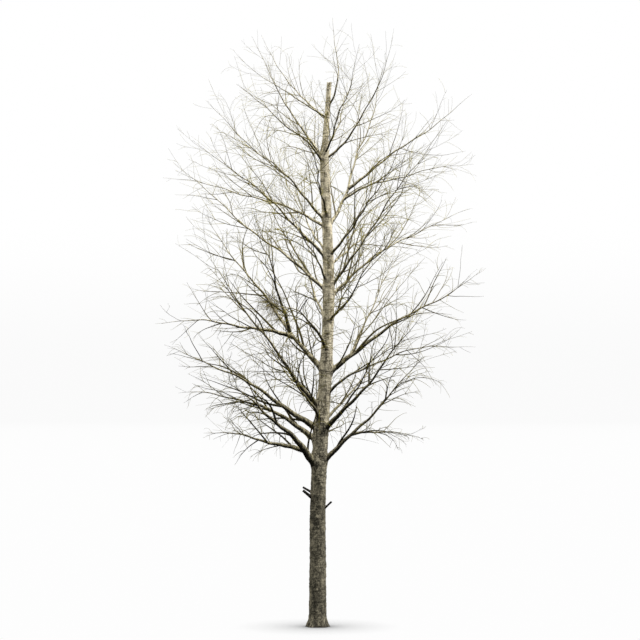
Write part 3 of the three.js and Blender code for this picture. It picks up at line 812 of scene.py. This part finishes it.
# One limb on the left bears a witches' broom: a knot of crowded twigs that spring from one short stretch
BROOM_LIMB = "left_6"
BROOM_STRETCH = (0.41, 0.455)
BROOM_SAMPLES = 4
broom_base = SimpleNamespace(
    path=limb_points(limbs[BROOM_LIMB], np.linspace(*BROOM_STRETCH, BROOM_SAMPLES + 1))[None],
    last=np.array([BROOM_SAMPLES]),
    length=np.array([limbs[BROOM_LIMB].length * (BROOM_STRETCH[1] - BROOM_STRETCH[0])]),
    seed=np.array([limbs[BROOM_LIMB].seed]),
    owner=np.array([names.index(BROOM_LIMB)]))
broom = grow(broom_base, BROOM_TWIG, starts(broom_base, BROOM_TWIG.first), BROOM_SEEDS)

# Each shoot is thinner than its parent where it leaves it, a long one thicker than a short one, and all
# are thinner towards the top of the tree
LONG_SHOOT = 0.0175
LEAST_TAPER = 1.3
SHOOT_TAPER = 0.6
THIN_TOP = 0.28
THIN_BAND = (7.5, 12)


def thicken(shoots, parent_radius):
    """Root radius of each shoot, from its length and from its parent's radius where it leaves."""
    rule = shoots.rule
    young = 1 - THIN_TOP * smooth_step(shoots.path[:, 0, 2], *THIN_BAND)
    shoots.thick = np.minimum(LONG_SHOOT * shoots.length, rule.share * parent_radius)
    shoots.thick = np.clip(shoots.thick, rule.thin * LEAST_TAPER, rule.thick) * young
    shoots.thin = rule.thin * young


stem_radius = girths / 2
for shoots in (branches, sides, uprights, spurs, limb_tips):
    root_radius = stem_radius[shoots.parent]
    thicken(shoots, LIMB_TIP + (root_radius - LIMB_TIP) * (1 - shoots.along) ** LIMB_TAPER)
for shoots, parents in (
    (twigs, branches), (side_twigs, sides), (side_tips, sides), (branch_tips, branches),
    (upright_twigs, uprights), (upright_sprigs, upright_twigs),
    (twig_sprigs, twigs), (side_sprigs, side_twigs), (spur_sprigs, spurs),
):
    thicken(shoots, parents.thick[shoots.parent] * (1 - SHOOT_TAPER * shoots.along))
thicken(broom, BROOM_TWIG.thick)

# Plain tones of the young bark, from the foot of the crown to its top, the darker low ones painted shade
# from the crown above
BRANCH_TONES = [
    tone(44, 42, 32),
    tone(55, 52, 40),
    tone(71, 67, 50),
    tone(88, 83, 63),
    tone(107, 101, 78),
    tone(120, 113, 96),
]
TWIG_TONES = [
    tone(87, 82, 32),
    tone(97, 91, 33),
    tone(110, 103, 36),
    tone(125, 117, 41),
    tone(138, 130, 53),
    tone(152, 144, 72),
]
YOUNG_ROUGHNESS = 0.7
YOUNG_SPECULAR = 0.05
# How the tones are dealt: each lift counts in tones
TONES_FROM = 3.5
TONES_TO = 11.5
TONE_SPREAD = 2.4
# Painted light: shoots on the right of the crown, where the key lamp stands, get paler tones
PAINTED_LIGHT_SIDE = (0.2, 1.4)
PAINTED_LIGHT_LIFT = 1.2
STEEP_LIFT = 1
SPRIG_LIFT = 0.5
TIP_LIFT = 0.3
BROOM_LIFT = 4.5


def young_bark(name, colours):
    """Plain materials, one for each tone."""
    made = []
    for number, colour in enumerate(colours, 1):
        material = bpy.data.materials.new(f"{name} {number}")
        material.use_nodes = True
        surface = material.node_tree.nodes["Principled BSDF"]
        surface.inputs["Base Color"].default_value = colour
        surface.inputs["Roughness"].default_value = YOUNG_ROUGHNESS
        surface.inputs["Specular IOR Level"].default_value = YOUNG_SPECULAR
        made.append(material)
    return made


def sweep_group(materials):
    """Geometry group that sweeps lines of points into round shoots of their own thickness and tone."""
    group = bpy.data.node_groups.new("shoots", "GeometryNodeTree")
    sockets = group.interface
    sockets.new_socket("Lines", in_out="INPUT", socket_type="NodeSocketGeometry")
    sides = sockets.new_socket("Sides", in_out="INPUT", socket_type="NodeSocketInt")
    sockets.new_socket("Shoots", in_out="OUTPUT", socket_type="NodeSocketGeometry")
    nodes, links = group.nodes, group.links
    given, out = nodes.new("NodeGroupInput"), nodes.new("NodeGroupOutput")
    line = nodes.new("GeometryNodeMeshToCurve")
    links.new(given.outputs["Lines"], line.inputs["Mesh"])
    section = nodes.new("GeometryNodeCurvePrimitiveCircle")
    section.inputs["Radius"].default_value = 1
    links.new(given.outputs["Sides"], section.inputs["Resolution"])
    thickness = nodes.new("GeometryNodeInputNamedAttribute")
    thickness.inputs["Name"].default_value = "thickness"
    sweep = nodes.new("GeometryNodeCurveToMesh")
    sweep.inputs["Fill Caps"].default_value = True
    links.new(line.outputs["Curve"], sweep.inputs["Curve"])
    links.new(section.outputs["Curve"], sweep.inputs["Profile Curve"])
    links.new(thickness.outputs["Attribute"], sweep.inputs["Scale"])
    real = nodes.new("GeometryNodeRealizeInstances")
    links.new(sweep.outputs["Mesh"], real.inputs["Geometry"])
    shape = real.outputs["Geometry"]
    dealt = nodes.new("GeometryNodeInputNamedAttribute")
    dealt.data_type = "INT"
    dealt.inputs["Name"].default_value = "tone"
    for number, material in enumerate(materials):
        same = nodes.new("FunctionNodeCompare")
        same.data_type = "INT"
        same.operation = "EQUAL"
        first, second = [socket for socket in same.inputs if socket.enabled]
        second.default_value = number
        links.new(dealt.outputs["Attribute"], first)
        paint = nodes.new("GeometryNodeSetMaterial")
        paint.inputs["Material"].default_value = material
        links.new(shape, paint.inputs["Geometry"])
        links.new(same.outputs["Result"], paint.inputs["Selection"])
        shape = paint.outputs["Geometry"]
    links.new(shape, out.inputs["Shoots"])
    return group, sides.identifier


BRANCH_SWEEP = sweep_group(young_bark("branch bark", BRANCH_TONES))
TWIG_SWEEP = sweep_group(young_bark("twig bark", TWIG_TONES))


def spray_tone(shoots, lift):
    """The tone dealt to each shoot: by height, darker low down as painted shade, with some chance, paler on
    finer wood, and paler on the right as painted light.
    """
    height = (shoots.path[:, -1, 2] - TONES_FROM) / (TONES_TO - TONES_FROM)
    dealt = height * len(TWIG_TONES) + TONE_SPREAD * (chance(shoots.seed, 5) - 0.5) + lift
    dealt = dealt + PAINTED_LIGHT_LIFT * smooth_step(shoots.path[:, -1, 0], *PAINTED_LIGHT_SIDE)
    return np.clip(np.floor(dealt), 0, len(TWIG_TONES) - 1).astype(int)


def sweep_shoots(name, kinds, chosen, points, sides, sweep):
    """One piece of all the shoots of some kinds that belong to the chosen limbs."""
    group, sides_input = sweep
    places, widths, dealt = [], [], []
    for shoots, lift in kinds:
        rows = np.flatnonzero(np.isin(shoots.owner, chosen))
        share = np.linspace(0, 1, points)
        spots, _ = on_paths(shoots, np.repeat(rows, points), np.tile(share, len(rows)))
        places.append(spots)
        root_width = shoots.thick[rows, None]
        widths.append((root_width + (shoots.thin[rows, None] - root_width) * share).ravel())
        dealt.append(np.repeat(spray_tone(shoots, lift)[rows], points))
    places = np.vstack(places)
    spots = np.arange(len(places)).reshape(-1, points)
    edges = np.stack([spots[:, :-1], spots[:, 1:]], axis=-1)
    lines = bpy.data.meshes.new(name)
    lines.vertices.add(len(places))
    lines.vertices.foreach_set("co", places.ravel())
    lines.edges.add(edges.size // 2)
    lines.edges.foreach_set("vertices", edges.ravel())
    widths, dealt = np.concatenate(widths), np.concatenate(dealt)
    lines.attributes.new("thickness", "FLOAT", "POINT").data.foreach_set("value", widths)
    lines.attributes.new("tone", "INT", "POINT").data.foreach_set("value", dealt)
    maker = bpy.data.objects.new(name + "_lines", lines)
    bpy.context.scene.collection.objects.link(maker)
    modifier = maker.modifiers.new("shoots", "NODES")
    modifier.node_group = group
    modifier[sides_input] = sides
    evaluated = maker.evaluated_get(bpy.context.evaluated_depsgraph_get())
    mesh = bpy.data.meshes.new_from_object(evaluated)
    bpy.data.objects.remove(maker)
    mesh.shade_smooth()
    piece = bpy.data.objects.new(name, mesh)
    bpy.context.scene.collection.objects.link(piece)
    return piece


STOREYS = ["low", "middle", "high", "top"]
KINDS = [  # kind, shoots with the lift of their tone, points along a shoot, its sides, sweep
    ("branches", [(branches, 0), (sides, 0), (uprights, STEEP_LIFT)], 18, 8, BRANCH_SWEEP),
    ("twigs", [(twigs, 0), (side_twigs, 0), (upright_twigs, 0), (spurs, 0)], 12, 6, TWIG_SWEEP),
    ("sprigs", [
        (twig_sprigs, SPRIG_LIFT), (side_sprigs, SPRIG_LIFT), (upright_sprigs, SPRIG_LIFT),
        (spur_sprigs, TIP_LIFT), (limb_tips, TIP_LIFT), (side_tips, TIP_LIFT), (branch_tips, TIP_LIFT),
    ], 9, 4, TWIG_SWEEP),
]
BROOM_POINTS = 12
BROOM_SIDES = 4
for number, storey in enumerate(STOREYS):
    chosen = np.arange(count * number // len(STOREYS), count * (number + 1) // len(STOREYS))
    masses = [f"twigs_{names[row]}" for row in chosen]
    for kind, parts, points, corners, sweep in KINDS:
        piece = sweep_shoots(f"{storey}_{kind}", parts, chosen, points, corners, sweep)
        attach(piece, "root")
        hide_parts(*masses)
piece = sweep_shoots(
    "witches_broom", [(broom, BROOM_LIFT)], broom_base.owner, BROOM_POINTS, BROOM_SIDES, BRANCH_SWEEP)
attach(piece, "root")
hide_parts(f"twigs_{BROOM_LIMB}")


# Studio: a level white floor and sky, a lamp at the upper right, a weaker one above, and the camera.
# The floor gives no light back to the tree, so the undersides of its limbs stay dark.
FLOOR_SIZE = 12000
FLOOR_WHITE = 0.985
HORIZON_WHITE = 0.96
HORIZON_FADE = (80, 2000)
SHADOW_REACH = 1.6
SHADOW_DEPTH = 3.0
bpy.ops.mesh.primitive_plane_add(size=FLOOR_SIZE)
floor = bpy.context.object
floor.name = "floor"
floor.visible_diffuse = False
floor.visible_glossy = False
floor.visible_shadow = False
paper = bpy.data.materials.new("white floor")
paper.use_nodes = True
nodes, links = paper.node_tree.nodes, paper.node_tree.links
nodes.remove(nodes["Principled BSDF"])
# The floor is not lit but glows white, with a painted shadow round the trunk's foot from ambient occlusion,
# and a little greyer far away
painted_foot_shadow = nodes.new("ShaderNodeAmbientOcclusion")
painted_foot_shadow.inputs["Color"].default_value = (1, 1, 1, 1)
painted_foot_shadow.inputs["Distance"].default_value = SHADOW_REACH
depth = nodes.new("ShaderNodeMath")
depth.operation = "POWER"
depth.inputs[1].default_value = SHADOW_DEPTH
links.new(painted_foot_shadow.outputs["AO"], depth.inputs[0])
place = nodes.new("ShaderNodeTexCoord")
away = nodes.new("ShaderNodeVectorMath")
away.operation = "LENGTH"
links.new(place.outputs["Object"], away.inputs[0])
white = nodes.new("ShaderNodeMapRange")
white.interpolation_type = "SMOOTHSTEP"
white.inputs["From Min"].default_value, white.inputs["From Max"].default_value = HORIZON_FADE
white.inputs["To Min"].default_value = FLOOR_WHITE
white.inputs["To Max"].default_value = HORIZON_WHITE
links.new(away.outputs["Value"], white.inputs["Value"])
glow = nodes.new("ShaderNodeEmission")
links.new(white.outputs["Result"], glow.inputs["Strength"])
links.new(depth.outputs[0], glow.inputs["Color"])
links.new(glow.outputs["Emission"], nodes["Material Output"].inputs["Surface"])
floor.data.materials.append(paper)

# The sky lights the tree from above, and the camera sees it white, a little greyer at the horizon
GROUND_LIGHT = (0.02, 0.02, 0.02, 1)
SKY_LIGHT = (0.93, 0.92, 0.83, 1)
SKY_BAND = (0.44, 0.95)
HAZE_BAND = (0.025, 0.1)
world = bpy.data.worlds.new("studio")
bpy.context.scene.world = world
world.use_nodes = True
nodes, links = world.node_tree.nodes, world.node_tree.links
sky = nodes["Background"]
paths = nodes.new("ShaderNodeLightPath")
direction = nodes.new("ShaderNodeTexCoord")
upward = nodes.new("ShaderNodeSeparateXYZ")
links.new(direction.outputs["Generated"], upward.inputs["Vector"])
ramp = nodes.new("ShaderNodeValToRGB")
low_end, high_end = ramp.color_ramp.elements
low_end.position, high_end.position = SKY_BAND
low_end.color = GROUND_LIGHT
high_end.color = SKY_LIGHT
half = nodes.new("ShaderNodeMapRange")
half.inputs["From Min"].default_value = -1
links.new(upward.outputs["Z"], half.inputs["Value"])
links.new(half.outputs["Result"], ramp.inputs["Fac"])
haze = nodes.new("ShaderNodeMapRange")
haze.interpolation_type = "SMOOTHSTEP"
haze.inputs["From Min"].default_value, haze.inputs["From Max"].default_value = HAZE_BAND
haze.inputs["To Min"].default_value = HORIZON_WHITE
haze.inputs["To Max"].default_value = 1
links.new(upward.outputs["Z"], haze.inputs["Value"])
seen = nodes.new("ShaderNodeMix")
seen.data_type = "RGBA"
links.new(haze.outputs["Result"], seen.inputs["B"])
links.new(paths.outputs["Is Camera Ray"], seen.inputs["Factor"])
links.new(ramp.outputs["Color"], seen.inputs["A"])
links.new(seen.outputs["Result"], sky.inputs["Color"])

LAMPS = [  # name, way towards it, energy, breadth in degrees, colour
    ("key light", (0.75, -0.08, 0.7), 4.5, 20, (1.0, 0.96, 0.84)),
    ("fill light", (-0.4, -0.15, 0.9), 2.5, 40, (1.0, 0.96, 0.8)),
]
for name, way, energy, breadth, colour in LAMPS:
    lamp = bpy.data.lights.new(name, "SUN")
    lamp.energy = energy
    lamp.angle = math.radians(breadth)
    lamp.color = colour
    lamp.use_shadow = False
    light = bpy.data.objects.new(name, lamp)
    light.rotation_euler = Vector(way).to_track_quat("Z", "Y").to_euler()
    bpy.context.scene.collection.objects.link(light)

# The camera stands far back at a third of the tree's height and looks slightly up
FOCAL_PIXELS = 1980
IMAGE_PIXELS = 640
SENSOR_WIDTH = 36
SIGHT = 10000
CAMERA_PLACE = (0.053, -42, 4.4)
CAMERA_TILT = 92.82
lens = bpy.data.cameras.new("camera")
lens.sensor_width = SENSOR_WIDTH
lens.lens = SENSOR_WIDTH * FOCAL_PIXELS / IMAGE_PIXELS
lens.clip_end = SIGHT
camera = bpy.data.objects.new("camera", lens)
camera.location = CAMERA_PLACE
camera.rotation_euler = (math.radians(CAMERA_TILT), 0, 0)
bpy.context.scene.collection.objects.link(camera)
bpy.context.scene.camera = camera
bpy.context.scene.view_settings.view_transform = "Standard"
